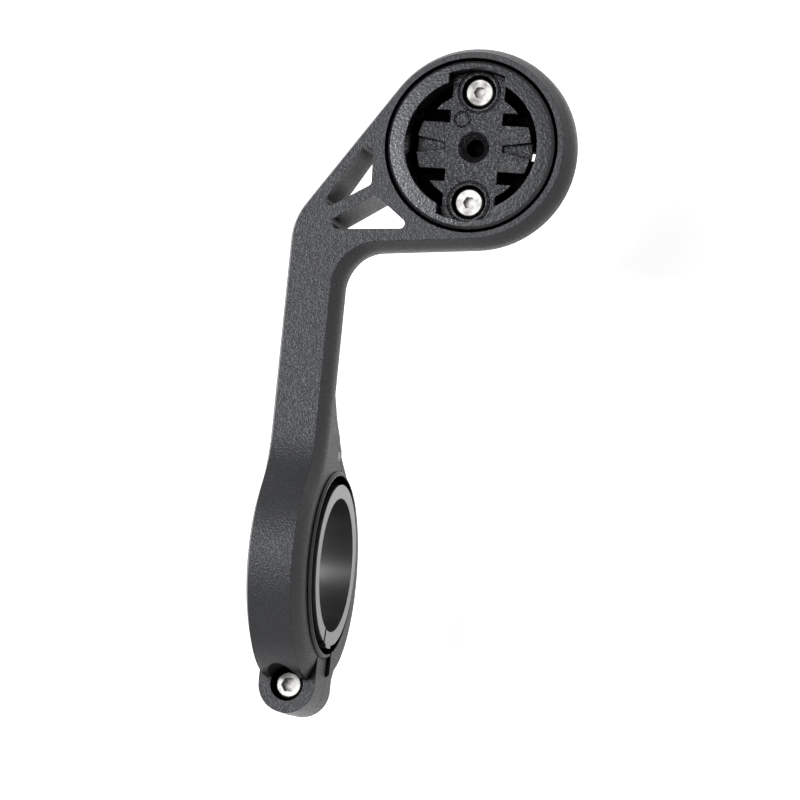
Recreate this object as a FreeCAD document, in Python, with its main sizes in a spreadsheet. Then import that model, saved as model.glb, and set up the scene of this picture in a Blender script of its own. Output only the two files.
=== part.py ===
import FreeCAD, Part
import math
import os
import Sketcher

# Out-front mount for a bike computer. X runs along the handlebar, Y forward from the clamp
# to the head, Z up. The origin is the centre of the clamp's bore. Lengths are in millimetres.

SIZES = [
    # Handlebar clamp
    ("bar_bore_radius", 15.9),
    ("bore_mouth_radius", 17.0),
    ("bore_mouth_depth", 2.0),
    ("jaw_radius", 22.0),
    ("jaw_centre_forward", -0.2),
    ("jaw_centre_up", 3.0),
    ("collar_wall", 1.9),
    ("collar_proud", 0.6),
    ("collar_bevel", 0.4),
    ("parting_front_drop", 2.4),
    ("parting_gap", 0.9),
    # Bolt ears
    ("ear_reach", 1.2),
    ("ear_top", 3.2),
    ("ear_thickness", 7.1),
    ("strap_ear_thickness", 5.3),
    ("strap_ear_inset", 0.2),
    # Clamp bolt and its insert
    ("bolt_core_radius", 1.25),
    ("bolt_hole_radius", 1.7),
    ("bolt_head_radius", 2.6),
    ("bolt_head_height", 3.0),
    ("bolt_head_sunk", 1.7),
    ("bolt_socket_flats", 2.5),
    ("bolt_engaged", 2.4),
    ("counterbore_gap", 0.55),
    ("clamp_insert_radius", 2.3),
    ("clamp_insert_bore", 1.6),
    ("clamp_insert_length", 4.2),
    # Strap and hinge
    ("strap_radius", 19.5),
    ("strap_centre_back", 2.0),
    ("strap_centre_down", 0.2),
    ("shoulder_radius", 1.0),
    ("pin_forward", 20.5),
    ("pin_up", 2.1),
    ("pin_radius", 0.9),
    ("pin_gap", 0.05),
    ("knuckle_radius", 1.9),
    ("knuckle_width", 5.0),
    ("knuckle_gap", 0.2),
    ("cheek_blend", 8.0),
    # Arm
    ("arm_width", 11.0),
    ("arm_top", 16.6),
    ("arm_depth", 12.2),
    ("saddle_radius", 16.0),
    ("crown", 1.4),
    ("crown_height", 3.7),
    ("crown_blend", 9.0),
    ("low_crown_height", 5.4),
    ("low_crown_fade", 8.0),
    # Head
    ("head_forward", 79.45),
    ("head_side", 28.4),
    ("head_radius", 19.1),
    ("pocket_radius", 16.6),
    ("pocket_depth", 6.5),
    ("floor_thickness", 3.0),
    ("underside_radius", 15.0),
    ("outer_bend_radius", 13.0),
    ("inner_bend_radius", 7.5),
    ("window_corner", 0.9),
    # Insert disc
    ("disc_radius", 16.0),
    ("disc_proud", 0.5),
    ("disc_edge_bevel", 0.5),
    ("disc_boss_width", 8.4),
    ("disc_opening_radius", 12.7),
    ("disc_notch_radius", 14.4),
    ("disc_notch_width", 10.8),
    ("tongue_drop", 2.9),
    ("tongue_thickness", 2.2),
    ("tongue_radius", 11.0),
    ("small_wing_radius", 10.4),
    ("rib_width", 1.0),
    ("spine_width", 10.0),
    ("slot_width", 2.4),
    ("slot_middle", 5.6),
    ("detent_start", 5.5),
    ("detent_inner_width", 1.3),
    ("detent_outer_width", 3.5),
    ("detent_depth", 1.3),
    ("centre_hole_radius", 1.65),
    ("centre_bevel", 1.35),
    ("centre_bevel_depth", 1.8),
    ("drain_width", 1.8),
    ("drain_reach", 10.4),
    # Disc screws and their inserts
    ("screw_spacing", 21.0),
    ("screw_head_radius", 2.7),
    ("screw_head_height", 2.2),
    ("screw_seat_radius", 3.25),
    ("screw_core_radius", 1.3),
    ("screw_hole_radius", 1.7),
    ("screw_socket_flats", 2.0),
    ("screw_top_drop", 3.5),
    ("screw_length", 7.0),
    ("underside_rib_width", 7.8),
    ("floor_insert_radius", 2.3),
        ("thread_gap", 0.05),
    # Reducer shim
    ("shim_bore_radius", 12.7),
    ("shim_gap", 0.6),
    ("shim_length", 13.0),
    ("shim_split", 1.0),
    ("shim_split_angle", 193.0),
    ("shim_tab_width", 3.6),
    ("shim_tab_gap", 0.05),
]

# Through windows in the neck, as (side, forward) corners seen from above.
UPPER_WINDOW = [(7.8, 78.0), (9.7, 77.6), (10.0, 70.8), (2.2, 66.0), (1.4, 67.4)]
LOWER_WINDOW = [(2.5, 63.3), (10.8, 68.8), (13.1, 67.3), (17.4, 64.0), (16.8, 62.8), (4.0, 61.9)]

# Directions of the neck's two edges, as side travel for each unit forward or back.
OUTER_EDGE_ANGLE = 34.4
INNER_EDGE_ANGLE = 5.5
REACH = 60.0
GUSSET_ANGLE = 38.0
DETENT_LEAST = 0.5
RIB_ANGLE = 50.0
EAR_BACK = "(jaw_radius - jaw_centre_forward + ear_reach)"
FLOOR_DEPTH = "arm_depth - pocket_depth"
SCREW_PLACES = [("front", "head_forward + screw_spacing / 2"),
                ("rear", "head_forward - screw_spacing / 2")]
TINY = 1e-6
WALL_LEAST = 0.01

doc = FreeCAD.newDocument("computer_mount")
sheet = doc.addObject("Spreadsheet::Sheet", "sizes")
for row, (alias, number) in enumerate(SIZES, start=1):
    sheet.set(f"A{row}", alias)
    sheet.set(f"B{row}", str(number))
    sheet.setAlias(f"B{row}", alias)
doc.recompute()


def size(formula):
    """The value of a formula in the sheet's own names."""
    result = sheet.evalExpression(formula)
    return float(getattr(result, "Value", result))


def tied(formula):
    """The same formula as other objects write it, with the sheet's name before each size."""
    names = sorted((alias for alias, _ in SIZES), key=len, reverse=True)
    pieces = []
    word = ""
    for letter in formula + " ":
        if letter.isalnum() or letter == "_":
            word += letter
            continue
        pieces.append(f"sizes.{word}" if word in names else word)
        pieces.append(letter)
        word = ""
    return "".join(pieces).strip()


def bind(feature, prop, formula):
    """Tie one property of a feature to the sheet."""
    setattr(feature, prop, size(formula))
    feature.setExpression(prop, tied(formula))


def place(feature, side="0", forward="0", up="0"):
    """Tie a feature's position to the sheet."""
    feature.Placement.Base = FreeCAD.Vector(size(side), size(forward), size(up))
    for axis, formula in (("x", side), ("y", forward), ("z", up)):
        if formula != "0":
            feature.setExpression(f".Placement.Base.{axis}", tied(formula))


def cylinder(name, radius, height, side="0", forward="0", up="0", along="Z"):
    """A cylinder that starts at a point and runs along one axis."""
    shape = doc.addObject("Part::Cylinder", name)
    bind(shape, "Radius", radius)
    bind(shape, "Height", height)
    if along == "X":
        shape.Placement.Rotation = FreeCAD.Rotation(FreeCAD.Vector(0, 1, 0), 90)
    place(shape, side, forward, up)
    return shape


def box(name, length, width, height, side, forward, up):
    """A box from its lowest corner."""
    shape = doc.addObject("Part::Box", name)
    bind(shape, "Length", length)
    bind(shape, "Width", width)
    bind(shape, "Height", height)
    place(shape, side, forward, up)
    return shape


def cut(name, base, *tools):
    """Base less every tool."""
    tool = tools[0]
    if len(tools) > 1:
        tool = fuse(f"{name}_tools", *tools)
    result = doc.addObject("Part::Cut", name)
    result.Base = base
    result.Tool = tool
    doc.recompute()
    return result


def fuse(name, *shapes):
    """All shapes as one."""
    result = doc.addObject("Part::MultiFuse", name)
    result.Shapes = list(shapes)
    result.Refine = True
    doc.recompute()
    return result


def common(name, *shapes):
    """What all shapes share."""
    result = doc.addObject("Part::MultiCommon", name)
    result.Shapes = list(shapes)
    doc.recompute()
    return result


def vector(first, second):
    return FreeCAD.Vector(first, second, 0)


def rounded(corners):
    """Lines and arcs round a closed list of (first, second, radius) corners."""
    count = len(corners)
    starts = []
    ends = []
    arcs = []
    for index, (first, second, radius) in enumerate(corners):
        here = vector(first, second)
        before = vector(*corners[index - 1][:2]) - here
        after = vector(*corners[(index + 1) % count][:2]) - here
        before.normalize()
        after.normalize()
        if radius == 0:
            starts.append(here)
            ends.append(here)
            arcs.append(None)
            continue
        half = before.getAngle(after) / 2
        run = radius / math.tan(half)
        middle = before + after
        middle.normalize()
        centre = here + middle * (radius / math.sin(half))
        starts.append(here + before * run)
        ends.append(here + after * run)
        arcs.append(centre - middle * radius)
    edges = []
    for index in range(count):
        if arcs[index] is not None:
            edges.append(Part.Arc(starts[index], arcs[index], ends[index]))
        following = (index + 1) % count
        if ends[index].distanceToPoint(starts[following]) > 1e-6:
            edges.append(Part.LineSegment(ends[index], starts[following]))
    return edges


def draw(sketch, edges):
    """Put a closed chain of edges in a sketch and join their ends."""
    first = sketch.GeometryCount
    sketch.addGeometry(edges, False)
    count = len(edges)
    for index in range(count):
        here = first + index
        following = first + (index + 1) % count
        ends = [sketch.getPoint(here, 1), sketch.getPoint(here, 2)]
        starts = [sketch.getPoint(following, 1), sketch.getPoint(following, 2)]
        for end in (0, 1):
            for start in (0, 1):
                if ends[end].distanceToPoint(starts[start]) < 1e-6:
                    joint = Sketcher.Constraint("Coincident", here, end + 1, following, start + 1)
                    sketch.addConstraint(joint)
    return first


def measure(sketch, kind, formula, *parts):
    """One dimension of a sketch, tied to the sheet."""
    index = sketch.addConstraint(Sketcher.Constraint(kind, *parts, size(formula)))
    sketch.setExpression(f"Constraints[{index}]", tied(formula))


def circle(sketch, radius, first="0", second="0"):
    """A circle whose radius and centre are tied to the sheet."""
    centre = vector(size(first), size(second))
    index = sketch.addGeometry(Part.Circle(centre, FreeCAD.Vector(0, 0, 1), size(radius)), False)
    measure(sketch, "Radius", radius, index)
    for kind, formula in (("DistanceX", first), ("DistanceY", second)):
        measure(sketch, kind, formula, -1, 1, index, 3)
    return index


def loose_sketch(name, plane):
    """A sketch outside any body: seen from above, or in the side view (forward, up)."""
    sketch = doc.addObject("Sketcher::SketchObject", name)
    if plane == "side":
        sketch.Placement.Rotation = FreeCAD.Rotation(0.5, 0.5, 0.5, 0.5)
    return sketch


def extrude(name, sketch, forward, backward="0"):
    """A solid from a sketch, both ways from its plane."""
    result = doc.addObject("Part::Extrusion", name)
    result.Base = sketch
    result.DirMode = "Normal"
    result.Solid = True
    bind(result, "LengthFwd", forward)
    bind(result, "LengthRev", backward)
    doc.recompute()
    return result


def body(name):
    return doc.addObject("PartDesign::Body", name)


def body_sketch(owner, name, role, offset="0"):
    """A sketch on one of the body's own origin planes."""
    plane = next(item for item in owner.Origin.OriginFeatures if item.Role == role)
    sketch = owner.newObject("Sketcher::SketchObject", name)
    sketch.AttachmentSupport = [(plane, "")]
    sketch.MapMode = "FlatFace"
    if offset != "0":
        sketch.setExpression(".AttachmentOffset.Base.z", tied(offset))
    doc.recompute()
    return sketch


def pad(owner, name, sketch, length, reverse=False, both=False):
    feature = owner.newObject("PartDesign::Pad", name)
    feature.Profile = sketch
    bind(feature, "Length", length)
    feature.Reversed = reverse
    feature.Midplane = both
    doc.recompute()
    return feature


def pocket(owner, name, sketch, length=None, reverse=False, both=False):
    """A cut from a sketch; without a length it goes right through."""
    before = owner.Shape.Volume
    feature = owner.newObject("PartDesign::Pocket", name)
    feature.Profile = sketch
    if length is None:
        feature.Type = "ThroughAll"
    else:
        bind(feature, "Length", length)
    feature.Reversed = reverse
    feature.Midplane = both
    doc.recompute()
    if not owner.Shape.Volume < before:
        raise RuntimeError(f"{name} cuts nothing")
    return feature


def revolution(owner, name, sketch, axis):
    """A full turn of a half section about one of the sketch's axes."""
    feature = owner.newObject("PartDesign::Revolution", name)
    feature.Profile = sketch
    feature.ReferenceAxis = (sketch, [axis])
    feature.Angle = 360
    doc.recompute()
    return feature


HEAD_CENTRE = vector(size("head_side"), size("head_forward"))


def neck_edges():
    """Corners of the neck seen from above, at its widest."""
    half = size("arm_width / 2")
    radius = size("head_radius")
    outer = math.radians(OUTER_EDGE_ANGLE)
    inner = math.radians(INNER_EDGE_ANGLE)
    outer_touch = HEAD_CENTRE + vector(-math.cos(outer), math.sin(outer)) * radius
    inner_touch = HEAD_CENTRE + vector(math.sin(inner), -math.cos(inner)) * radius
    outer_run = (outer_touch.x + half) / math.tan(outer)
    outer_corner = vector(-half, outer_touch.y - outer_run)
    inner_corner = vector(half, inner_touch.y - (inner_touch.x - half) * math.tan(inner))
    return outer_touch, inner_touch, outer_corner, inner_corner


def plan_outline():
    """The arm from above at its widest: ear, arm, neck and head as one closed chain."""
    half = size("arm_width / 2")
    back = -size(EAR_BACK)
    outer_touch, inner_touch, outer_corner, inner_corner = neck_edges()
    far = HEAD_CENTRE + vector(math.sin(math.pi / 4), math.cos(math.pi / 4)) * size("head_radius")
    chain = rounded([
        (outer_touch.x, outer_touch.y, 0),
        (outer_corner.x, outer_corner.y, size("outer_bend_radius")),
        (-half, back, 0),
        (half, back, 0),
        (inner_corner.x, inner_corner.y, size("inner_bend_radius")),
        (inner_touch.x, inner_touch.y, 0),
    ])
    ear_start = vector(-half, back)
    ear_end = vector(half, back)
    edges = []
    for edge in chain:
        ends = [edge.StartPoint, edge.EndPoint]
        if all(abs(end.y - back) < 1e-6 for end in ends):
            edges.append(Part.Arc(ear_start, vector(0, back - half), ear_end))
        elif edge.StartPoint.distanceToPoint(inner_touch) < 1e-6:
            edges.append(Part.Arc(inner_touch, far, outer_touch))
        else:
            edges.append(edge)
    return edges


def parting_points():
    """The clamp's parting at the hinge, on the bore and on the cheek, as (forward, up)."""
    drop = size("parting_front_drop")
    on_bore = vector(math.sqrt(size("bar_bore_radius") ** 2 - drop ** 2), -drop)
    pin = vector(size("pin_forward"), size("pin_up"))
    on_cheek = pin + vector(-math.sin(math.pi / 6), -math.cos(math.pi / 6)) * size("knuckle_radius")
    return on_bore, on_cheek, pin


def side_outline():
    """The arm from the side, as (forward, up): upper jaw, ear, arm, head and hinge cheeks."""
    radius = size("jaw_radius")
    centre = vector(size("jaw_centre_forward"), size("jaw_centre_up"))
    top = size("arm_top")
    bottom = size("arm_top - arm_depth")
    ear_top = size("ear_top")
    ear_bottom = size("ear_top - ear_thickness")
    ear_end = -size(f"{EAR_BACK} + arm_width")
    front = size("head_forward + head_radius") + 1
    blend = size("saddle_radius")
    reach = math.sqrt((radius + blend) ** 2 - (top + blend - centre.y) ** 2)
    blend_centre = vector(centre.x + reach, top + blend)
    touch = centre + (blend_centre - centre) * (radius / (radius + blend))
    low = vector(blend_centre.x, top)
    towards = (touch - blend_centre) + (low - blend_centre)
    towards.normalize()
    back = vector(centre.x - math.sqrt(radius ** 2 - (ear_top - centre.y) ** 2), ear_top)
    on_bore, on_cheek, pin = parting_points()
    knuckle = size("knuckle_radius")
    hollow = size("cheek_blend")
    hollow_reach = math.sqrt((knuckle + hollow) ** 2 - (bottom - hollow - pin.y) ** 2)
    hollow_centre = vector(pin.x + hollow_reach, bottom - hollow)
    hollow_end = vector(hollow_centre.x, bottom)
    cheek_front = pin + (hollow_centre - pin) * (knuckle / (knuckle + hollow))
    up_and_back = (cheek_front - hollow_centre) + (hollow_end - hollow_centre)
    up_and_back.normalize()
    cheek_middle = pin + ((cheek_front - pin) + (on_cheek - pin)).normalize() * knuckle
    inside = vector(0, ear_bottom)
    rear_low = vector(ear_end, ear_bottom)
    rear_high = vector(ear_end, ear_top)
    return [
        Part.LineSegment(rear_low, rear_high),
        Part.LineSegment(rear_high, back),
        Part.Arc(back, centre + vector(0, radius), touch),
        Part.Arc(touch, blend_centre + towards * blend, low),
        Part.LineSegment(low, vector(front, top)),
        Part.LineSegment(vector(front, top), vector(front, bottom)),
        Part.LineSegment(vector(front, bottom), hollow_end),
        Part.Arc(hollow_end, hollow_centre + up_and_back * hollow, cheek_front),
        Part.Arc(cheek_front, cheek_middle, on_cheek),
        Part.LineSegment(on_cheek, on_bore),
        Part.LineSegment(on_bore, inside),
        Part.LineSegment(inside, rear_low),
    ]


def bevel(name, base, height, test):
    """A long bevel on the edges that pass a test: tall on the wall, short on the face."""
    shape = base.Shape
    rows = []
    for number, edge in enumerate(shape.Edges, start=1):
        if not test(edge.BoundBox):
            continue
        first_face = shape.ancestorsOfType(edge, Part.Face)[0]
        normal = normal_at(first_face, edge)
        flat = edge.BoundBox.ZLength < TINY
        on_wall = abs(normal.z) < WALL_LEAST if flat else abs(normal.x) > WALL_LEAST
        sizes = (size(height), size("crown"))
        rows.append((number, *(sizes if on_wall else reversed(sizes))))
    result = doc.addObject("Part::Chamfer", name)
    result.Base = base
    result.Edges = rows
    doc.recompute()
    return result


def normal_at(face, edge):
    """A face's normal at the middle of one of its edges."""
    middle = edge.valueAt((edge.FirstParameter + edge.LastParameter) / 2)
    return face.normalAt(*face.Surface.parameter(middle))


def blend_bevel(name, base, height):
    """Round the shallow edge that a bevel leaves on the wall."""
    shape = base.Shape
    turn = math.degrees(math.atan(size(f"crown / {height}")))
    rows = []
    for number, edge in enumerate(shape.Edges, start=1):
        faces = shape.ancestorsOfType(edge, Part.Face)
        if len(faces) != 2:
            continue
        angle = math.degrees(normal_at(faces[0], edge).getAngle(normal_at(faces[1], edge)))
        if abs(angle - turn) < 1:
            rows.append((number, size("crown_blend"), size("crown_blend")))
    result = doc.addObject("Part::Fillet", name)
    result.Base = base
    result.Edges = rows
    doc.recompute()
    return result


def window(name, corners):
    """A through opening in the neck with rounded corners."""
    sketch = loose_sketch(f"{name}_outline", "plan")
    radius = size("window_corner")
    draw(sketch, rounded([(side, forward, radius) for side, forward in corners]))
    return extrude(name, sketch, "arm_top + 1")


def arm():
    """Arm, neck, head ring, upper jaw and ear, moulded in one."""
    plan = loose_sketch("arm_plan", "plan")
    draw(plan, plan_outline())
    side = loose_sketch("arm_side", "side")
    draw(side, side_outline())
    above = extrude("arm_plan_prism", plan, "jaw_radius + 5", "ear_thickness")
    beside = extrude("arm_side_prism", side, "head_side + head_radius + 1", "arm_width")
    blank = common("arm_blank", above, beside)
    half = size("arm_width / 2")
    top = size("arm_top")
    bottom = size("arm_top - arm_depth")

    def upper_edge(box):
        flat = box.ZLength < TINY and abs(box.ZMin - top) < TINY and box.XLength + box.YLength > TINY
        across = box.YLength < TINY
        on_side = box.XLength < TINY and abs(abs(box.XMin) - half) < TINY
        over_jaw = on_side and box.YLength > TINY and box.ZMax > top - TINY
        return (flat and not across) or over_jaw

    upper = blend_bevel("arm_top_crown", bevel("arm_top_bevel", blank, "crown_height", upper_edge),
                        "crown_height")
    slab = extrude("arm_slab", plan, "jaw_radius + 5", "arm_depth - arm_top")

    def lower_edge(box):
        return box.ZLength < TINY and abs(box.ZMin - bottom) < TINY

    lower = bevel("arm_low_bevel", slab, "low_crown_height", lower_edge)
    crowned = common("arm_crowned", upper, fuse("arm_kept", lower, jaw_zone()))
    collar = cylinder("collar_blank", "bar_bore_radius + collar_wall",
                      "arm_width + 2 * collar_proud",
                      side="-arm_width / 2 - collar_proud", along="X")
    collar = common("upper_collar", bevel_rims("collar_bevelled", collar, "collar_bevel", "collar_bevel"),
                    jaw_side("upper_side", "upper"))
    whole = fuse("arm_with_collar", crowned, collar)
    tools = [
        bore_tool("bar_bore"),
        hinge_slot(),
        cylinder("arm_pin_hole", "pin_radius", "2 * arm_width", side="-arm_width",
                 forward="pin_forward", up="pin_up", along="X"),
        cylinder("ear_hole", "bolt_hole_radius", "ear_thickness + 2",
                 forward=f"-{EAR_BACK}", up="ear_top - ear_thickness - 1"),
        cylinder("ear_counterbore", "bolt_head_radius + counterbore_gap", "jaw_radius",
                 forward=f"-{EAR_BACK}", up="ear_top - bolt_head_sunk - bolt_head_height"),
        cylinder("head_pocket", "pocket_radius", "pocket_depth + 1",
                 side="head_side", forward="head_forward", up="arm_top - pocket_depth"),
        underside(),
        drain("drain_left", -1),
        drain("drain_right", 1),
        window("upper_window", UPPER_WINDOW),
        window("lower_window", LOWER_WINDOW),
    ]
    hollow = cut("arm_hollow", whole, *tools)
    holes = [cylinder(f"insert_seat_{name}", "floor_insert_radius", "2 * arm_depth",
                      side="head_side", forward=forward, up="arm_top - 2 * arm_depth")
             for name, forward in SCREW_PLACES]
    return cut("arm_body", hollow, *holes)


def underside():
    """The shallow recess under the head, with a rib across it for the two inserts."""
    depth = f"{FLOOR_DEPTH} - floor_thickness"
    round_part = cylinder("underside_round", "underside_radius", depth, side="head_side",
                          forward="head_forward", up="arm_top - arm_depth")
    rib = box("underside_rib", "underside_rib_width", "2 * underside_radius + 2", depth,
              "head_side - underside_rib_width / 2", "head_forward - underside_radius - 1",
              "arm_top - arm_depth")
    return cut("underside_recess", round_part, rib)


def jaw_zone():
    """The stretch over the clamp, where the arm's lower crown fades out."""
    half = size("arm_width / 2")
    narrow = size("arm_width / 2 - crown")
    start = size("pin_forward + 2 * knuckle_radius")
    end = start + size("low_crown_fade")
    plan = loose_sketch("jaw_zone_outline", "plan")
    corners = [(-half, -REACH), (half, -REACH), (half, start), (narrow, end), (-narrow, end),
               (-half, start)]
    draw(plan, rounded([(side, forward, 0) for side, forward in corners]))
    return extrude("jaw_zone", plan, "2 * jaw_radius", "ear_thickness")


def drain(name, sign):
    """One of the two drain slots in the head's floor, under the end of a wide wing."""
    return box(name, "drain_width", "drain_width", "arm_depth",
               f"head_side + {sign} * drain_reach - drain_width / 2",
               f"head_forward - {sign} * drain_width / 4 - drain_width / 2",
               "arm_top - arm_depth - 1")


def bore_tool(name):
    """The clamp's bore with the wider mouth at both of its ends."""
    pieces = [cylinder(f"{name}_wall", "bar_bore_radius", "4 * arm_width",
                       side="-2 * arm_width", along="X")]
    inner = "(arm_width / 2 + collar_proud - bore_mouth_depth)"
    for end, start in (("left", f"-{inner} - arm_width"), ("right", inner)):
        pieces.append(cylinder(f"{name}_{end}_mouth", "bore_mouth_radius", "arm_width",
                               side=start, along="X"))
    return fuse(name, *pieces)


def bevel_rims(name, base, on_end, on_round):
    """Bevel both rims of a cylinder: one size on its flat ends, another on its round."""
    shape = base.Shape
    rows = []
    for number, edge in enumerate(shape.Edges, start=1):
        if not isinstance(edge.Curve, Part.Circle):
            continue
        first_face = shape.ancestorsOfType(edge, Part.Face)[0]
        sizes = (size(on_end), size(on_round))
        flat = isinstance(first_face.Surface, Part.Plane)
        rows.append((number, *(sizes if flat else reversed(sizes))))
    result = doc.addObject("Part::Chamfer", name)
    result.Base = base
    result.Edges = rows
    doc.recompute()
    return result


def jaw_side(name, half):
    """Everything above or below the clamp's parting, to trim the two jaws."""
    on_bore, on_cheek, pin = parting_points()
    ear_bottom = size("ear_top - ear_thickness")
    if half == "upper":
        line = [vector(-REACH, ear_bottom), vector(0, ear_bottom), on_bore, on_cheek,
                vector(REACH, on_cheek.y), vector(REACH, REACH), vector(-REACH, REACH)]
    else:
        along = on_cheek - on_bore
        along.normalize()
        gap = vector(along.y, -along.x) * size("knuckle_gap")
        strap_top = ear_bottom - size("parting_gap")
        line = [vector(-REACH, strap_top), vector(0, strap_top), on_bore + gap, on_cheek + gap,
                pin, vector(REACH, pin.y), vector(REACH, -REACH), vector(-REACH, -REACH)]
    sketch = loose_sketch(f"{name}_outline", "side")
    draw(sketch, rounded([(point.x, point.y, 0) for point in line]))
    return extrude(name, sketch, "arm_width", "arm_width")


def hinge_slot():
    """Room between the arm's two cheeks for the strap's knuckle."""
    half = "-knuckle_width / 2 - knuckle_gap"
    wide = "knuckle_width + 2 * knuckle_gap"
    radius = "knuckle_radius + knuckle_gap"
    round_part = cylinder("slot_round", radius, wide, side=half,
                          forward="pin_forward", up="pin_up", along="X")
    mouth = box("slot_mouth", wide, "4 * knuckle_radius", "8 * knuckle_radius", half,
                "pin_forward - knuckle_radius - knuckle_gap", "pin_up - 8 * knuckle_radius")
    front = box("slot_front", wide, "4 * knuckle_radius", "8 * knuckle_radius", half,
                "pin_forward", "pin_up + knuckle_gap - 7 * knuckle_radius")
    return fuse("hinge_slot", round_part, mouth, front)


def strap_centre():
    """Centre of the strap's outer round, as (forward, up)."""
    return vector(-size("strap_centre_back"), -size("strap_centre_down"))


def strap_shoulder(name, start, half_width):
    """The strap's run from the pin to its outer round, a set distance in front of the pin."""
    on_bore, on_cheek, pin = parting_points()
    centre = strap_centre()
    outer = size("strap_radius")
    away = pin - centre
    tilt = math.atan2(away.y, away.x) - math.acos((outer - start) / away.Length)
    normal = vector(math.cos(tilt), math.sin(tilt))
    inner = size("bar_bore_radius") - 1
    points = [pin, pin + normal * start, centre + normal * outer, normal * inner,
              on_bore * (inner / size("bar_bore_radius"))]
    sketch = loose_sketch(f"{name}_outline", "side")
    draw(sketch, rounded([(point.x, point.y, 0) for point in points]))
    return extrude(name, sketch, half_width, half_width)


def strap():
    """The lower jaw: a band that turns on the pin, with its own ear."""
    band = cylinder("strap_band", "strap_radius", "arm_width + 2 * collar_proud",
                    side="-arm_width / 2 - collar_proud", forward="-strap_centre_back",
                    up="-strap_centre_down", along="X")
    band = bevel_rims("strap_band_bevelled", band, "collar_bevel", "collar_bevel")
    wide = fuse("strap_wide", band,
                strap_shoulder("strap_shoulder", size("shoulder_radius"), "arm_width / 2"))
    clear = cylinder("cheek_room", "knuckle_radius + knuckle_gap", "2 * arm_width",
                     side="-arm_width", forward="pin_forward", up="pin_up", along="X")
    lower = jaw_side("lower_side", "lower")
    wide = common("strap_lower", cut("strap_cleared", wide, clear), lower)
    web = strap_shoulder("strap_web", size("knuckle_radius"), "knuckle_width / 2")
    web = common("strap_web_lower", web, lower)
    eye = cylinder("strap_eye", "knuckle_radius", "knuckle_width", side="-knuckle_width / 2",
                   forward="pin_forward", up="pin_up", along="X")
    whole = fuse("strap_whole", wide, web, eye, strap_ear())
    tools = [
        bore_tool("strap_bore"),
        cylinder("strap_pin_hole", "pin_radius + pin_gap", "2 * arm_width", side="-arm_width",
                 forward="pin_forward", up="pin_up", along="X"),
        cylinder("strap_insert_seat", "clamp_insert_radius", "clamp_insert_length",
                 forward=f"-{EAR_BACK}",
                 up="ear_top - ear_thickness - parting_gap - clamp_insert_length"),
    ]
    return cut("clamp_strap", whole, *tools)


def strap_ear():
    """The strap's bolt ear, rounded like the one above it, with its gusset to the band."""
    half = size("arm_width / 2 - strap_ear_inset")
    back = size(EAR_BACK)
    outer = size("strap_radius")
    top = size("ear_top - ear_thickness - parting_gap")
    bottom = top - size("strap_ear_thickness")
    plan = loose_sketch("strap_ear_plan", "plan")
    left = vector(-half, -back)
    right = vector(half, -back)
    draw(plan, [
        Part.Arc(left, vector(0, -back - half), right),
        Part.LineSegment(right, vector(half, 0)),
        Part.LineSegment(vector(half, 0), vector(-half, 0)),
        Part.LineSegment(vector(-half, 0), left),
    ])
    side = loose_sketch("strap_ear_side", "side")
    gusset = math.radians(GUSSET_ANGLE)
    touch = strap_centre() + vector(-math.sin(gusset), -math.cos(gusset)) * outer
    run = vector(-math.cos(gusset), math.sin(gusset))
    meet = touch + run * ((bottom - touch.y) / run.y)
    points = [(-back - half, top, 0), (-back - half, bottom, 0), (meet.x, bottom, 3.0),
              (touch.x, touch.y, 0), (touch.x * 0.85, touch.y * 0.85, 0),
              (-size("bar_bore_radius") + 1, top, 0)]
    draw(side, rounded(points))
    below = extrude("strap_ear_prism", plan, "-parting_gap", "jaw_radius")
    return common("strap_ear", below, extrude("strap_ear_profile", side, "arm_width", "arm_width"))


def pin():
    """The hinge pin, through both cheeks."""
    return cylinder("hinge_pin", "pin_radius", "arm_width", side="-arm_width / 2",
                    forward="pin_forward", up="pin_up", along="X")


def turned(name, half_section):
    """A body turned about its own axis from a closed half section of (radius, height)."""
    owner = body(name)
    sketch = body_sketch(owner, f"{name}_section", "XZ_Plane")
    points = [vector(size(radius), size(height)) for radius, height in half_section]
    draw(sketch, [Part.LineSegment(points[index - 1], points[index])
                  for index in range(len(points))])
    for index, (radius, height) in enumerate(half_section):
        following = (index + 1) % len(half_section)
        measure(sketch, "DistanceX", radius, -1, 1, following, 1)
        measure(sketch, "DistanceY", height, -1, 1, following, 1)
    revolution(owner, f"{name}_turn", sketch, "V_Axis")
    return owner


def hexagon(owner, name, role, flats, offset):
    """A sketch of a hexagon across its flats, on an offset origin plane."""
    sketch = body_sketch(owner, name, role, offset)
    corner = size(flats) / math.sqrt(3)
    points = [vector(corner * math.cos(turn * math.pi / 3), corner * math.sin(turn * math.pi / 3))
              for turn in range(6)]
    draw(sketch, [Part.LineSegment(points[index], points[(index + 1) % 6]) for index in range(6)])
    return sketch


def cap_screw(name, head_radius, head_height, core_radius, tip_depth, flats):
    """A socket screw with its head's top at its own origin."""
    rim = f"{head_height} * 0.12"
    owner = turned(name, [
        ("0", "0"),
        (f"{head_radius} - {rim}", "0"),
        (head_radius, f"-{rim}"),
        (head_radius, f"-{head_height}"),
        (core_radius, f"-{head_height}"),
        (core_radius, f"-({tip_depth})"),
        ("0", f"-({tip_depth})"),
    ])
    socket = hexagon(owner, f"{name}_socket", "XY_Plane", flats, "0")
    pocket(owner, f"{name}_socket_cut", socket, f"{head_height} * 0.6")
    return owner


def threaded_insert(name, radius, bore, length):
    """A brass insert with its top at its own origin."""
    return turned(name, [(bore, "0"), (radius, "0"), (radius, f"-({length})"),
                         (bore, f"-({length})")])


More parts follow.
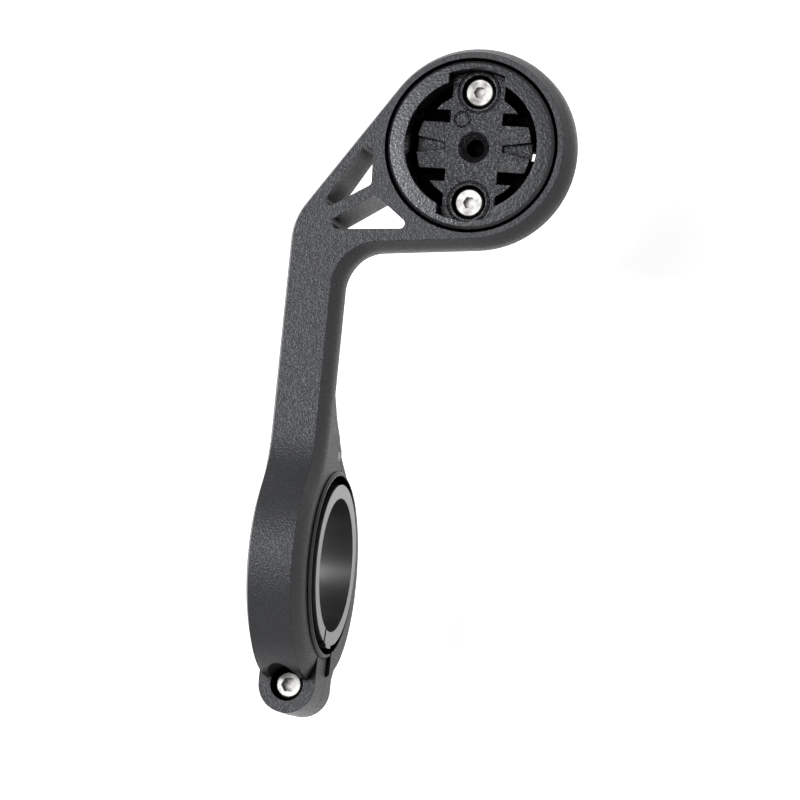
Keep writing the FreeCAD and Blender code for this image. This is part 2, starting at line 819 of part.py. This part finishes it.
def shim():
    """The split bush that narrows the clamp to a thinner bar."""
    owner = body("reducer_shim")
    ring = body_sketch(owner, "shim_ring", "YZ_Plane")
    circle(ring, "bar_bore_radius - shim_gap")
    circle(ring, "shim_bore_radius")
    pad(owner, "shim_wall", ring, "shim_length", both=True)
    angle = math.radians(size("shim_split_angle"))
    out = vector(math.cos(angle), -math.sin(angle))
    across = vector(-out.y, out.x)
    tab_out = vector(-1, 0)
    tab = body_sketch(owner, "shim_tab_outline", "YZ_Plane")
    half_tab = size("shim_tab_width / 2")
    reach = size("bar_bore_radius - shim_tab_gap")
    low = math.asin(half_tab / reach)
    start = vector(-reach * math.cos(low), -half_tab)
    end = vector(-reach * math.cos(low), half_tab)
    root = size("shim_bore_radius") + 1
    draw(tab, [
        Part.Arc(start, tab_out * reach, end),
        Part.LineSegment(end, vector(-root, half_tab)),
        Part.LineSegment(vector(-root, half_tab), vector(-root, -half_tab)),
        Part.LineSegment(vector(-root, -half_tab), start),
    ])
    pad(owner, "shim_tab", tab, "shim_length", both=True)
    split = body_sketch(owner, "shim_split_outline", "YZ_Plane")
    half = size("shim_split / 2")
    near = size("shim_bore_radius") - 2
    far = size("bar_bore_radius") + 2
    corners = [out * near - across * half, out * far - across * half,
               out * far + across * half, out * near + across * half]
    draw(split, [Part.LineSegment(corners[index], corners[(index + 1) % 4]) for index in range(4)])
    pocket(owner, "shim_split", split, "2 * shim_length", both=True)
    return owner


def disc():
    """The quarter-turn insert: a ring with two notches round a winged tongue."""
    top = "arm_top + disc_proud"
    base = "arm_top - pocket_depth"
    tongue_top = "arm_top + disc_proud - tongue_drop"
    tongue_low = "arm_top + disc_proud - tongue_drop - tongue_thickness"
    at_head = {"side": "head_side", "forward": "head_forward"}
    blank = cylinder("disc_blank", "disc_radius", "pocket_depth + disc_proud", up=base, **at_head)
    edge = [number for number, edge in enumerate(blank.Shape.Edges, start=1)
            if isinstance(edge.Curve, Part.Circle) and edge.BoundBox.ZMin > size(base) + TINY]
    bevelled = doc.addObject("Part::Chamfer", "disc_bevelled")
    bevelled.Base = blank
    bevelled.Edges = [(number, size("disc_edge_bevel"), size("disc_edge_bevel")) for number in edge]
    doc.recompute()
    opening = cylinder("disc_opening", "disc_opening_radius", "2 * pocket_depth", up=base, **at_head)
    opening.Placement.Base.z -= 1
    ring = cut("disc_ring", bevelled, opening)
    notch_round = cylinder("notch_round", "disc_notch_radius", "2 * tongue_drop",
                           up=tongue_top, **at_head)
    notch_box = box("notch_box", "disc_notch_width", "4 * disc_radius", "2 * tongue_drop",
                    "head_side - disc_notch_width / 2", "head_forward - 2 * disc_radius",
                    tongue_top)
    ring = cut("disc_notched", ring, common("disc_notch", notch_round, notch_box))
    plate = cylinder("tongue_plate", "small_wing_radius", "tongue_thickness", up=tongue_low,
                     **at_head)
    wing_round = cylinder("wing_round", "tongue_radius", "tongue_thickness", up=tongue_low,
                          **at_head)
    wing_band = box("wing_band", "4 * tongue_radius", "2 * slot_middle - slot_width",
                    "tongue_thickness", "head_side - 2 * tongue_radius",
                    "head_forward - slot_middle + slot_width / 2", tongue_low)
    spine = box("tongue_spine", "spine_width", "2 * disc_radius - 2", "tongue_thickness",
                "head_side - spine_width / 2", "head_forward - disc_radius + 1", tongue_low)
    pieces = [ring, plate, common("wide_wings", wing_round, wing_band), spine, ribs(base, tongue_low)]
    for name, forward in SCREW_PLACES:
        pieces.append(box(f"disc_boss_{name}", "disc_boss_width", "disc_boss_width",
                          f"{tongue_low} - ({base}) + 0.1",
                          "head_side - disc_boss_width / 2",
                          f"{forward} - disc_boss_width / 2", base))
    whole = fuse("disc_whole", *pieces)
    tools = tongue_slots(tongue_low) + detents(tongue_top)
    tools.append(cylinder("centre_hole", "centre_hole_radius", "2 * pocket_depth",
                          up=f"{base} - 1", **at_head))
    bevel_cone = doc.addObject("Part::Cone", "centre_bevel_cone")
    bind(bevel_cone, "Radius1", "centre_hole_radius")
    bind(bevel_cone, "Radius2", "centre_hole_radius + centre_bevel")
    bind(bevel_cone, "Height", "centre_bevel_depth")
    place(bevel_cone, "head_side", "head_forward", f"{tongue_top} - centre_bevel_depth")
    tools.append(bevel_cone)
    for name, forward in SCREW_PLACES:
        tools.append(cylinder(f"screw_seat_{name}", "screw_seat_radius", "pocket_depth",
                              side="head_side", forward=forward,
                              up=f"{top} - screw_top_drop - screw_head_height"))
        tools.append(cylinder(f"disc_screw_hole_{name}", "screw_hole_radius", "2 * pocket_depth",
                              side="head_side", forward=forward, up=f"{base} - 1"))
    return cut("interface_disc", whole, *tools)


def ribs(base, tongue_low):
    """Two crossed ribs that stiffen the tongue from below."""
    bars = []
    for name, angle in (("first", RIB_ANGLE), ("second", -RIB_ANGLE)):
        bar = doc.addObject("Part::Box", f"rib_{name}")
        bind(bar, "Length", "2 * small_wing_radius - 2")
        bind(bar, "Width", "rib_width")
        bind(bar, "Height", f"{tongue_low} - ({base}) + 0.1")
        turn = FreeCAD.Rotation(FreeCAD.Vector(0, 0, 1), angle)
        corner = turn.multVec(vector(-size("small_wing_radius - 1"), -size("rib_width / 2")))
        bar.Placement.Rotation = turn
        place(bar, f"head_side + {corner.x:.4f}", f"head_forward + {corner.y:.4f}", base)
        bars.append(bar)
    return fuse("ribs", *bars)


def tongue_slots(tongue_low):
    """Four slots that part the wide wings from the small ones."""
    slots = []
    for side_name, side in (("left", "head_side - tongue_radius - 1"),
                            ("right", "head_side + spine_width / 2")):
        for end_name, forward in (("front", "head_forward + slot_middle - slot_width / 2"),
                                  ("rear", "head_forward - slot_middle - slot_width / 2")):
            slots.append(box(f"slot_{side_name}_{end_name}", "tongue_radius + 1 - spine_width / 2",
                             "slot_width", "tongue_thickness + 2", side, forward,
                             f"{tongue_low} - 1"))
    return slots


def detents(tongue_top):
    """The wedge-shaped detent in each wide wing, deeper towards the rim."""
    tools = []
    start = size("detent_start")
    end = size("tongue_radius") + 1
    near = size("detent_inner_width / 2")
    far = size("detent_outer_width / 2")
    depth = size("detent_depth")
    level = size(tongue_top)
    centre = size("head_side")
    forward = size("head_forward")
    for name, sign in (("left", -1), ("right", 1)):
        plan = loose_sketch(f"detent_{name}_plan", "plan")
        corners = [(start, -near), (end, -far), (end, far), (start, near)]
        draw(plan, rounded([(centre + sign * along, forward + across, 0)
                            for along, across in corners]))
        prism = extrude(f"detent_{name}_prism", plan, "arm_top + 2")
        side = doc.addObject("Sketcher::SketchObject", f"detent_{name}_slope")
        side.Placement.Rotation = FreeCAD.Rotation(FreeCAD.Vector(1, 0, 0), 90)
        slope = [(start, level - DETENT_LEAST), (end, level - depth), (end, level + 1),
                 (start, level + 1)]
        draw(side, rounded([(centre + sign * along, up, 0) for along, up in slope]))
        wedge = extrude(f"detent_{name}_wedge", side, "0", "2 * head_forward")
        tools.append(common(f"detent_{name}", prism, wedge))
    return tools


def set_place(owner, side, forward, up):
    place(owner, side, forward, up)
    return owner


parts = [arm(), strap(), pin(), disc(), shim()]
bolt = cap_screw("clamp_bolt", "bolt_head_radius", "bolt_head_height", "bolt_core_radius",
                 "ear_thickness - bolt_head_sunk + parting_gap + bolt_engaged",
                 "bolt_socket_flats")
parts.append(set_place(bolt, "0", f"-{EAR_BACK}", "ear_top - bolt_head_sunk"))
clamp_insert = threaded_insert("clamp_insert", "clamp_insert_radius", "clamp_insert_bore",
                               "clamp_insert_length")
parts.append(set_place(clamp_insert, "0", f"-{EAR_BACK}",
                       "ear_top - ear_thickness - parting_gap"))
for end, forward in SCREW_PLACES:
    screw = cap_screw(f"disc_screw_{end}", "screw_head_radius", "screw_head_height",
                      "screw_core_radius", "screw_head_height + screw_length",
                      "screw_socket_flats")
    parts.append(set_place(screw, "head_side", forward, "arm_top + disc_proud - screw_top_drop"))
    brass = threaded_insert(f"floor_insert_{end}", "floor_insert_radius",
                            "screw_core_radius + thread_gap", FLOOR_DEPTH)
    parts.append(set_place(brass, "head_side", forward, "arm_top - pocket_depth"))
doc.recompute()

for item in doc.Objects:
    if {"Invalid", "Error"} & set(item.State):
        raise RuntimeError(f"{item.Name} failed: {item.State}")
for item in parts:
    item.Label = item.Name
    if item.Shape.isNull() or not item.Shape.isValid() or len(item.Shape.Solids) != 1:
        raise RuntimeError(f"{item.Label} has no single valid solid")

os.makedirs("parts", exist_ok=True)
for item in parts:
    item.Shape.exportStep(f"parts/{item.Label}.step")
    box_of = item.Shape.BoundBox
    print(f"{item.Label}: {item.Shape.Volume:.1f} mm3, {box_of.XLength:.1f} x "
          f"{box_of.YLength:.1f} x {box_of.ZLength:.1f}")
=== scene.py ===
import bpy
from mathutils import Matrix, Vector


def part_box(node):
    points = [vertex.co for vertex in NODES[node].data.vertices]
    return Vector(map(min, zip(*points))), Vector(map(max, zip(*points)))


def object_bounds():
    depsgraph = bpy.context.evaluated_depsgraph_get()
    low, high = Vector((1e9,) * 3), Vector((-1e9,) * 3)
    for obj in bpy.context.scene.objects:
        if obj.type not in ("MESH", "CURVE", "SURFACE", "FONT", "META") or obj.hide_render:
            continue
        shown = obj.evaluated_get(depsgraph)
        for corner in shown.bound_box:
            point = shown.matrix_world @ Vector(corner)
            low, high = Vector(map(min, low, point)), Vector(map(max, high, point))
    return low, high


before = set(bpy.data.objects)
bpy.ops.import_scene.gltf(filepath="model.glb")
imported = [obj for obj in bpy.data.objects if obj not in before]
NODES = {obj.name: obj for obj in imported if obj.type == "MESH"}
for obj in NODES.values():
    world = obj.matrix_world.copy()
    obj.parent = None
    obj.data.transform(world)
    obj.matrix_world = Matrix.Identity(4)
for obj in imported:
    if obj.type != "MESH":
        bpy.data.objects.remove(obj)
CAD_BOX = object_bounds()

# Lengths are in metres and colours are linear.
WHITE = (1, 1, 1, 1)


class Nodes:
    """A node tree, with short ways to add what the finishes are made of."""

    def __init__(self, tree):
        self.tree = tree

    def add(self, kind, **values):
        """A node, with each value put in the setting or the socket of that name."""
        node = self.tree.nodes.new(kind)
        for key, value in values.items():
            if hasattr(node, key):
                setattr(node, key, value)
            else:
                node.inputs[key.replace("_", " ")].default_value = value
        return node

    def feed(self, target, value):
        """A socket fed by another socket, or set to a plain value."""
        if isinstance(value, bpy.types.NodeSocket):
            self.tree.links.new(value, target)
        else:
            target.default_value = value

    def math(self, operation, *values):
        node = self.add("ShaderNodeMath", operation=operation)
        for target, value in zip(node.inputs, values):
            self.feed(target, value)
        return node.outputs[0]

    def vector_math(self, operation, *values):
        node = self.add("ShaderNodeVectorMath", operation=operation)
        for target, value in zip(node.inputs, values):
            self.feed(target, value)
        return node

    def mix(self, blend, share, first, second):
        """Two colours blended."""
        node = self.add("ShaderNodeMix", data_type="RGBA", blend_type=blend)
        self.feed(node.inputs[0], share)
        self.feed(node.inputs[6], first)
        self.feed(node.inputs[7], second)
        return node.outputs[2]

    def ramp(self, source, low, high):
        """A colour ramp over one value, between two (place, colour) stops."""
        node = self.add("ShaderNodeValToRGB")
        for element, (place, colour) in zip(node.color_ramp.elements, (low, high)):
            element.position = place
            element.color = (*colour, 1)
        self.feed(node.inputs[0], source)
        return node.outputs[0]

    def span(self, source, low, high, at_low, at_high, slope="SMOOTHSTEP"):
        """One value moved from one range to another."""
        node = self.add("ShaderNodeMapRange", interpolation_type=slope)
        for target, value in zip(node.inputs, (source, low, high, at_low, at_high)):
            self.feed(target, value)
        return node.outputs[0]

    def bump(self, height, distance, strength, normal):
        """A relief laid over another normal."""
        node = self.add("ShaderNodeBump", Distance=distance)
        self.feed(node.inputs["Height"], height)
        self.feed(node.inputs["Strength"], strength)
        self.feed(node.inputs["Normal"], normal)
        return node.outputs[0]

    def axis_distance(self, place, centre):
        """How far a point is from an upright axis."""
        away = self.vector_math("SUBTRACT", place, (*centre, 0))
        flat = self.vector_math("MULTIPLY", away.outputs[0], (1, 1, 0))
        return self.vector_math("LENGTH", flat.outputs[0]).outputs["Value"]

    def seen_directly(self):
        """1 where the camera, a reflection or a transparent piece sees the surface, else 0."""
        path = self.add("ShaderNodeLightPath")
        seen = self.math("MAXIMUM", path.outputs["Is Camera Ray"], path.outputs["Is Glossy Ray"])
        return self.math("MAXIMUM", seen, path.outputs["Is Transmission Ray"])


def new_material(name):
    """A material, its nodes and its shader's inputs."""
    material = bpy.data.materials.new(name)
    material.use_nodes = True
    tree = material.node_tree
    return material, Nodes(tree), tree.nodes["Principled BSDF"].inputs


# The grain is a fine noise with pits, which have this share of its scale and this weight.
PIT_SCALE = 0.8
PIT_WEIGHT = 0.6
# Where in the grain's height the dark ground ends and the lightest specks start.
GROUND = 0.58
SPECK = 0.92
# The part of the grain's height over which the gloss rises.
POLISH = (0.45, 0.95)
# Broad, faint clouds over the colour, as the two stops of their ramp.
CLOUD_SCALE = 110.0
CLOUDS = ((0.3, (0.85, 0.85, 0.85)), (0.7, (1, 1, 1)))
# A wall has flatness 0 and a top 1, and grain and gloss change between these two values of it.
GRAIN_FLATNESS = (0.55, 0.97)
GLOSS_FLATNESS = (0.1, 0.9)
# The half width of the calm part's edge, and the share of the grain that is left outside it.
CALM_EDGE = 0.0003
CALM_GRAIN = 0.28
RING_HEIGHT = 0.00035
PLASTIC_EDGE = 0.0002
PLASTIC_TINT = (0.93, 0.95, 1.0, 1)
# Each painted shading runs between two measures of openness, and has these two brightnesses
# there.
WIDE_SHADING = (0.2, 0.85, 0.04, 1.0)
CREASE_SHADING = (0.45, 0.9, 0.1, 1.0)
# A crease is painted darker over this share of the reach of the wide painted shading.
CREASE_SHARE = 0.25
# How dark the painted shade inside a well is, and the band at its wall over which it gets so, in
# its radii.
PAINTED_WELL_LIGHT = 0.12
WELL_EDGE = (0.98, 1.01)


def painted_recess_shade(nodes, place, reach, painted_shade_wells):
    """Painted shade: a factor of 1 on open faces, falling in recesses, creases and wells, where
    less light comes.
    """
    wide = nodes.add("ShaderNodeAmbientOcclusion", samples=12, Distance=reach)
    crease = nodes.add("ShaderNodeAmbientOcclusion", samples=8, Distance=reach * CREASE_SHARE)
    light = nodes.math("MULTIPLY",
                       nodes.span(wide.outputs["AO"], *WIDE_SHADING),
                       nodes.span(crease.outputs["AO"], *CREASE_SHADING))
    for centre, radius in painted_shade_wells:
        inside, outside = (radius * share for share in WELL_EDGE)
        away = nodes.axis_distance(place, centre)
        light = nodes.math("MULTIPLY", light, nodes.span(away, inside, outside, PAINTED_WELL_LIGHT, 1.0))
    return light


def ringed_normal(nodes, place, normal, rings):
    """A normal with raised rings round upright axes, each from (centre, radius, half width)."""
    for centre, radius, half_width in rings:
        off = nodes.math("SUBTRACT", nodes.axis_distance(place, centre), radius)
        ridge = nodes.span(nodes.math("ABSOLUTE", off), 0.0, half_width, 1.0, 0.0)
        normal = nodes.bump(ridge, RING_HEIGHT, 1.0, normal)
    return normal


def moulded(name, dark, light, roughness, gloss, grain=1.0, grain_scale=3300.0, relief=0.0001,
            wall_grain=1.0, wall_gloss=0.5, shade=0.003, spread=0.1, rings=(), painted_shade_wells=(),
            calm=None):
    """Moulded plastic with a cast grain, glossier on its high spots and calmer on its walls,
    with shade painted into its colour and gloss in recesses, creases and wells.

    shade is the reach of the painted shade in recesses, spread is how far the roughness moves
    either way, and calm is the (centre, radius) outside which the grain is fainter.
    """
    material, nodes, shader = new_material(name)
    coordinates = nodes.add("ShaderNodeTexCoord")
    place = coordinates.outputs["Object"]
    fine = nodes.add("ShaderNodeTexNoise", Scale=grain_scale, Detail=2.0, Roughness=0.7)
    pits = nodes.add("ShaderNodeTexVoronoi", Scale=grain_scale * PIT_SCALE)
    broad = nodes.add("ShaderNodeTexNoise", Scale=CLOUD_SCALE, Detail=2.0, Roughness=0.5)
    for texture in (fine, pits, broad):
        nodes.feed(texture.inputs["Vector"], place)
    height = nodes.math("MULTIPLY_ADD", pits.outputs["Distance"], PIT_WEIGHT, fine.outputs[0])

    split = nodes.add("ShaderNodeSeparateXYZ")
    nodes.feed(split.inputs[0], coordinates.outputs["Normal"])
    flatness = nodes.math("ABSOLUTE", split.outputs[2])
    grain_here = nodes.span(flatness, *GRAIN_FLATNESS, wall_grain, 1.0)
    if calm:
        centre, radius = calm
        fading = nodes.span(nodes.axis_distance(place, centre),
                            radius - CALM_EDGE, radius + CALM_EDGE, 1.0, CALM_GRAIN)
        grain_here = nodes.math("MULTIPLY", grain_here, fading)

    middle = [(a + b) / 2 for a, b in zip(dark, light)]
    speckle = nodes.ramp(height, (GROUND, dark), (SPECK, light))
    colour = nodes.mix("MIX", grain_here, (*middle, 1), speckle)
    clouds = nodes.ramp(broad.outputs[0], *CLOUDS)
    colour = nodes.mix("MULTIPLY", 1.0, colour, clouds)
    # Painted shade: the colour, and below it the gloss, are darkened in recesses, creases and
    # wells.
    recess_shade = painted_recess_shade(nodes, place, shade, painted_shade_wells)
    nodes.feed(shader["Base Color"], nodes.mix("MULTIPLY", 1.0, colour, recess_shade))

    sheen = nodes.span(flatness, *GLOSS_FLATNESS, gloss * wall_gloss, gloss)
    nodes.feed(shader["Specular IOR Level"], nodes.math("MULTIPLY", recess_shade, sheen))
    nodes.feed(shader["Specular Tint"], PLASTIC_TINT)
    nodes.feed(shader["Roughness"],
               nodes.span(height, *POLISH, roughness + spread, roughness - spread))

    edge = nodes.add("ShaderNodeBevel", samples=4, Radius=PLASTIC_EDGE)
    normal = ringed_normal(nodes, place, edge.outputs[0], rings)
    strength = nodes.math("MULTIPLY", grain_here, grain)
    nodes.feed(shader["Normal"], nodes.bump(height, relief, strength, normal))
    return material


METAL_EDGE = 0.00015
METAL_RELIEF = 0.00003
MARK_SCALE = 1800.0
PATCH_SCALE = 420.0
# Where in the patches' noise the dark ends and the bright metal starts.
PATCH_DARK = 0.32
PATCH_BRIGHT = 0.55
# How far the marks take the roughness down and up.
SMOOTHER = 0.08
ROUGHER = 0.1


def turned_metal(name, colour, dark, roughness, marking):
    """Turned or rolled metal with fine marks and darker, cloudy patches."""
    material, nodes, shader = new_material(name)
    place = nodes.add("ShaderNodeTexCoord").outputs["Object"]
    marks = nodes.add("ShaderNodeTexNoise", Scale=MARK_SCALE, Detail=2.0, Roughness=0.5)
    patches = nodes.add("ShaderNodeTexNoise", Scale=PATCH_SCALE, Detail=3.0, Roughness=0.6)
    for texture in (marks, patches):
        nodes.feed(texture.inputs["Vector"], place)
    nodes.feed(shader["Base Color"],
               nodes.ramp(patches.outputs[0], (PATCH_DARK, dark), (PATCH_BRIGHT, colour)))
    nodes.feed(shader["Roughness"],
               nodes.span(marks.outputs[0], 0.0, 1.0,
                          roughness - SMOOTHER, roughness + ROUGHER, "LINEAR"))
    nodes.feed(shader["Metallic"], 1.0)
    edge = nodes.add("ShaderNodeBevel", samples=4, Radius=METAL_EDGE)
    nodes.feed(shader["Normal"],
               nodes.bump(marks.outputs[0], METAL_RELIEF, marking, edge.outputs[0]))
    return material


def upright_axis(node):
    """The place, seen from above, of a node that is round about an upright axis."""
    low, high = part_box(node)
    return (low.x + high.x) / 2, (low.y + high.y) / 2


HEAD = upright_axis("interface_disc")
CLAMP_BOLT = upright_axis("clamp_bolt")
DISC_SCREWS = [upright_axis("disc_screw_front"), upright_axis("disc_screw_rear")]

# The radii of the head's pocket and the bolt's counterbore, inside which shade is painted on the
# arm.
POCKET_RADIUS = 0.0165
COUNTERBORE_RADIUS = 0.0032


def arm_plastic():
    # Painted shade darkens the head's pocket and the clamp bolt's counterbore, and a wider
    # painted shading reaches into the recesses.
    return moulded("arm_plastic",
                   dark=(0.003, 0.0031, 0.0037), light=(0.020, 0.0205, 0.0226),
                   roughness=0.40, gloss=0.42, wall_grain=0.3, wall_gloss=0.25, shade=0.006,
                   painted_shade_wells=[(HEAD, POCKET_RADIUS), (CLAMP_BOLT, COUNTERBORE_RADIUS)])


ROUNDEL_SIDE = -0.0027
ROUNDEL_FORWARD = 0.0051
ROUNDEL_RADIUS = 0.0014
SCREW_RING_RADIUS = 0.0039
FINE_LINE = 0.0003
RIM_INSIDE = 0.0126
# The rim falls away outwards, as the outer side of one broad, low ridge.
DISH_RADIUS = 0.0120
DISH_HALF_WIDTH = 0.0066


def disc_plastic():
    roundel = (HEAD[0] + ROUNDEL_SIDE, HEAD[1] + ROUNDEL_FORWARD)
    rings = [(roundel, ROUNDEL_RADIUS, FINE_LINE)]
    rings += [(screw, SCREW_RING_RADIUS, FINE_LINE) for screw in DISC_SCREWS]
    rings += [(HEAD, DISH_RADIUS, DISH_HALF_WIDTH)]
    return moulded("disc_plastic",
                   dark=(0.001, 0.0011, 0.0013), light=(0.015, 0.0155, 0.0170),
                   roughness=0.28, gloss=0.43, relief=0.00024, grain_scale=2100.0,
                   rings=rings, calm=(HEAD, RIM_INSIDE))


def shim_plastic():
    """Smooth plastic under a clear skin, which gives the bore its gleam."""
    # Painted shade darkens its recesses and creases over a short reach.
    material = moulded("shim_plastic",
                       dark=(0.006, 0.0062, 0.0069), light=(0.012, 0.0124, 0.0138),
                       roughness=0.40, gloss=0.15, grain=0.0, shade=0.0012, spread=0.02)
    shader = material.node_tree.nodes["Principled BSDF"].inputs
    shader["Coat Weight"].default_value = 1.0
    shader["Coat Roughness"].default_value = 0.32
    shader["Coat IOR"].default_value = 1.7
    return material


def stainless():
    return turned_metal("stainless", colour=(0.31, 0.306, 0.298), dark=(0.12, 0.118, 0.112),
                        roughness=0.38, marking=0.6)


def brass():
    return turned_metal("insert_brass", colour=(0.72, 0.52, 0.22), dark=(0.45, 0.31, 0.12),
                        roughness=0.35, marking=0.35)


FINISHES = [
    (arm_plastic(), ["arm_body", "clamp_strap"]),
    (disc_plastic(), ["interface_disc"]),
    (shim_plastic(), ["reducer_shim"]),
    (stainless(), ["hinge_pin", "clamp_bolt", "disc_screw_front", "disc_screw_rear"]),
    (brass(), ["clamp_insert", "floor_insert_front", "floor_insert_rear"]),
]
for finish, node_names in FINISHES:
    for node_name in node_names:
        mesh = NODES[node_name].data
        mesh.materials.clear()
        mesh.materials.append(finish)


# The image's right, up and towards-the-viewer directions, in the part's own frame.
IMAGE_RIGHT = Vector((0.9705, 0.0986, -0.2199))
IMAGE_UP = Vector((-0.0717, 0.9893, 0.1269))
TO_VIEWER = Vector((0.2300, -0.1074, 0.9672)).normalized()
# Where the camera aims, from the bore's centre along those three directions.
AIM_RIGHT = 0.01842
AIM_UP = 0.03086
AIM_FORWARD = 0.010
CAMERA_DISTANCE = 1.2
# The sensor's width is in millimetres, and so is the lens that is worked out from it.
SENSOR_WIDTH = 36.0
FRAME_PIXELS = 800.0
PIXELS_PER_METRE = 5315.0


def add_camera():
    data = bpy.data.cameras.new("camera")
    data.sensor_width = SENSOR_WIDTH
    data.lens = PIXELS_PER_METRE * CAMERA_DISTANCE * SENSOR_WIDTH / FRAME_PIXELS
    data.clip_start = 0.05
    data.clip_end = 20.0
    camera = bpy.data.objects.new("camera", data)
    bpy.context.scene.collection.objects.link(camera)
    aim = IMAGE_RIGHT * AIM_RIGHT + IMAGE_UP * AIM_UP + TO_VIEWER * AIM_FORWARD
    right = IMAGE_UP.cross(TO_VIEWER).normalized()
    up = TO_VIEWER.cross(right).normalized()
    turn = Matrix((right, up, TO_VIEWER)).transposed().to_4x4()
    camera.matrix_world = Matrix.Translation(aim + TO_VIEWER * CAMERA_DISTANCE) @ turn
    bpy.context.scene.camera = camera


add_camera()

# The floor lies clear of the strap's free end, which swings down as the clamp opens.
STRAP_SWING = 0.030
FLOOR_HALF = 3.0
FLOOR_GREY = (0.8, 0.8, 0.8, 1)
FLOOR_GLOW = 0.72
# How brightly the world lights the part, beside the full white of its own look.
WORLD_LIGHT = 0.25


def floor_paint():
    """A pale floor that is plain white where it is seen directly, with the shadow kept."""
    material, nodes, shader = new_material("floor_paint")
    nodes.feed(shader["Base Color"], FLOOR_GREY)
    nodes.feed(shader["Roughness"], 0.9)
    nodes.feed(shader["Specular IOR Level"], 0.1)
    nodes.feed(shader["Emission Color"], WHITE)
    nodes.feed(shader["Emission Strength"],
               nodes.math("MULTIPLY", nodes.seen_directly(), FLOOR_GLOW))
    return material


def add_floor():
    height = CAD_BOX[0].z - STRAP_SWING
    corners = [(-FLOOR_HALF, -FLOOR_HALF, height), (FLOOR_HALF, -FLOOR_HALF, height),
               (FLOOR_HALF, FLOOR_HALF, height), (-FLOOR_HALF, FLOOR_HALF, height)]
    mesh = bpy.data.meshes.new("floor")
    mesh.from_pydata(corners, [], [(0, 1, 2, 3)])
    mesh.materials.append(floor_paint())
    plane = bpy.data.objects.new("floor", mesh)
    bpy.context.scene.collection.objects.link(plane)


def add_world():
    """A world that is plain white where it is seen directly, and lights the part softly."""
    world = bpy.data.worlds.new("studio")
    bpy.context.scene.world = world
    world.use_nodes = True
    nodes = Nodes(world.node_tree)
    background = world.node_tree.nodes["Background"].inputs
    nodes.feed(background["Color"], WHITE)
    nodes.feed(background["Strength"],
               nodes.span(nodes.seen_directly(), 0.0, 1.0, WORLD_LIGHT, 1.0, "LINEAR"))


add_floor()
add_world()

LAMP_AIM = Vector((0.014, 0.038, 0.005))
# Each lamp's place, its width and height, and its power in watts.
LAMPS = {
    "key": ((-0.42, 0.20, 1.0), (0.4, 0.7), 4.5),
    "strip": ((-0.68, 0.08, 1.0), (0.10, 0.25), 7.0),
    "fill": ((0.9, -0.1, 0.5), (0.8, 0.8), 0.6),
    "front": ((0.1, -0.9, 0.6), (0.9, 0.6), 1.0),
}


def add_softbox(name, place, size, power):
    data = bpy.data.lights.new(name, "AREA")
    data.shape = "RECTANGLE"
    data.size, data.size_y = size
    data.energy = power
    lamp = bpy.data.objects.new(name, data)
    bpy.context.scene.collection.objects.link(lamp)
    lamp.location = place
    lamp.rotation_mode = "QUATERNION"
    lamp.rotation_quaternion = (LAMP_AIM - Vector(place)).to_track_quat("-Z", "Y")


for name, (place, size, power) in LAMPS.items():
    add_softbox(name, place, size, power)

bpy.context.scene.view_settings.view_transform = "Standard"
